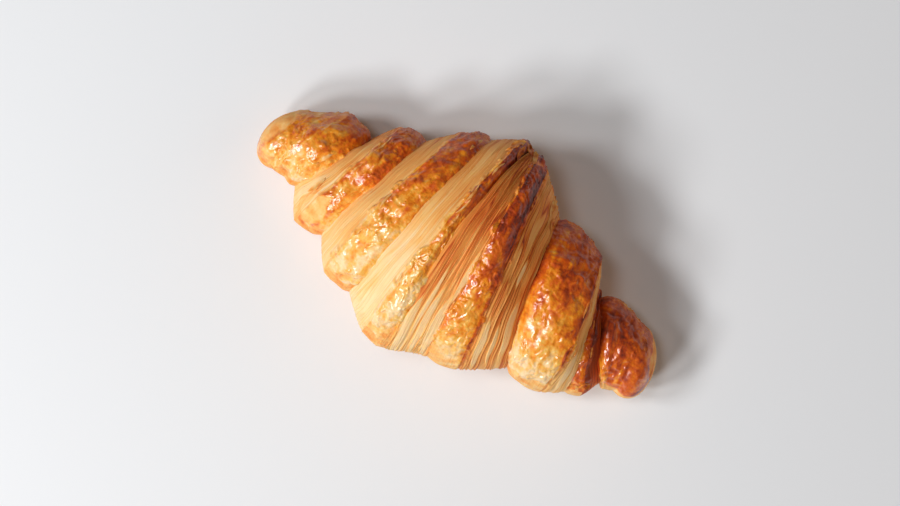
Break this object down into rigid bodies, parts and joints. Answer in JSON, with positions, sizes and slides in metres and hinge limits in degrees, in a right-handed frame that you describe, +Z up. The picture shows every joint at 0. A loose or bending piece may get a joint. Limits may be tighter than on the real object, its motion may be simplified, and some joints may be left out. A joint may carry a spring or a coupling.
{
  "type": "croissant",
  "caption": "Straight baked croissant of rolled, layered dough: stepped turns, drawn-out cut faces, glazed skin, two horns and a flat underside.",
  "frame": {"origin": "on the table, at the centre of the box round the croissant", "axes": "+X along the roll from the left horn to the right horn, +Y to the back, +Z up"},
  "size_m": [0.1606, 0.0864, 0.0603],
  "materials": {
    "crust": "baked laminated dough, egg-glazed golden brown skin with pale, dull cut faces"
  },
  "bodies": {
    "root": {"croissant": "crust"}
  },
  "joints": []
}
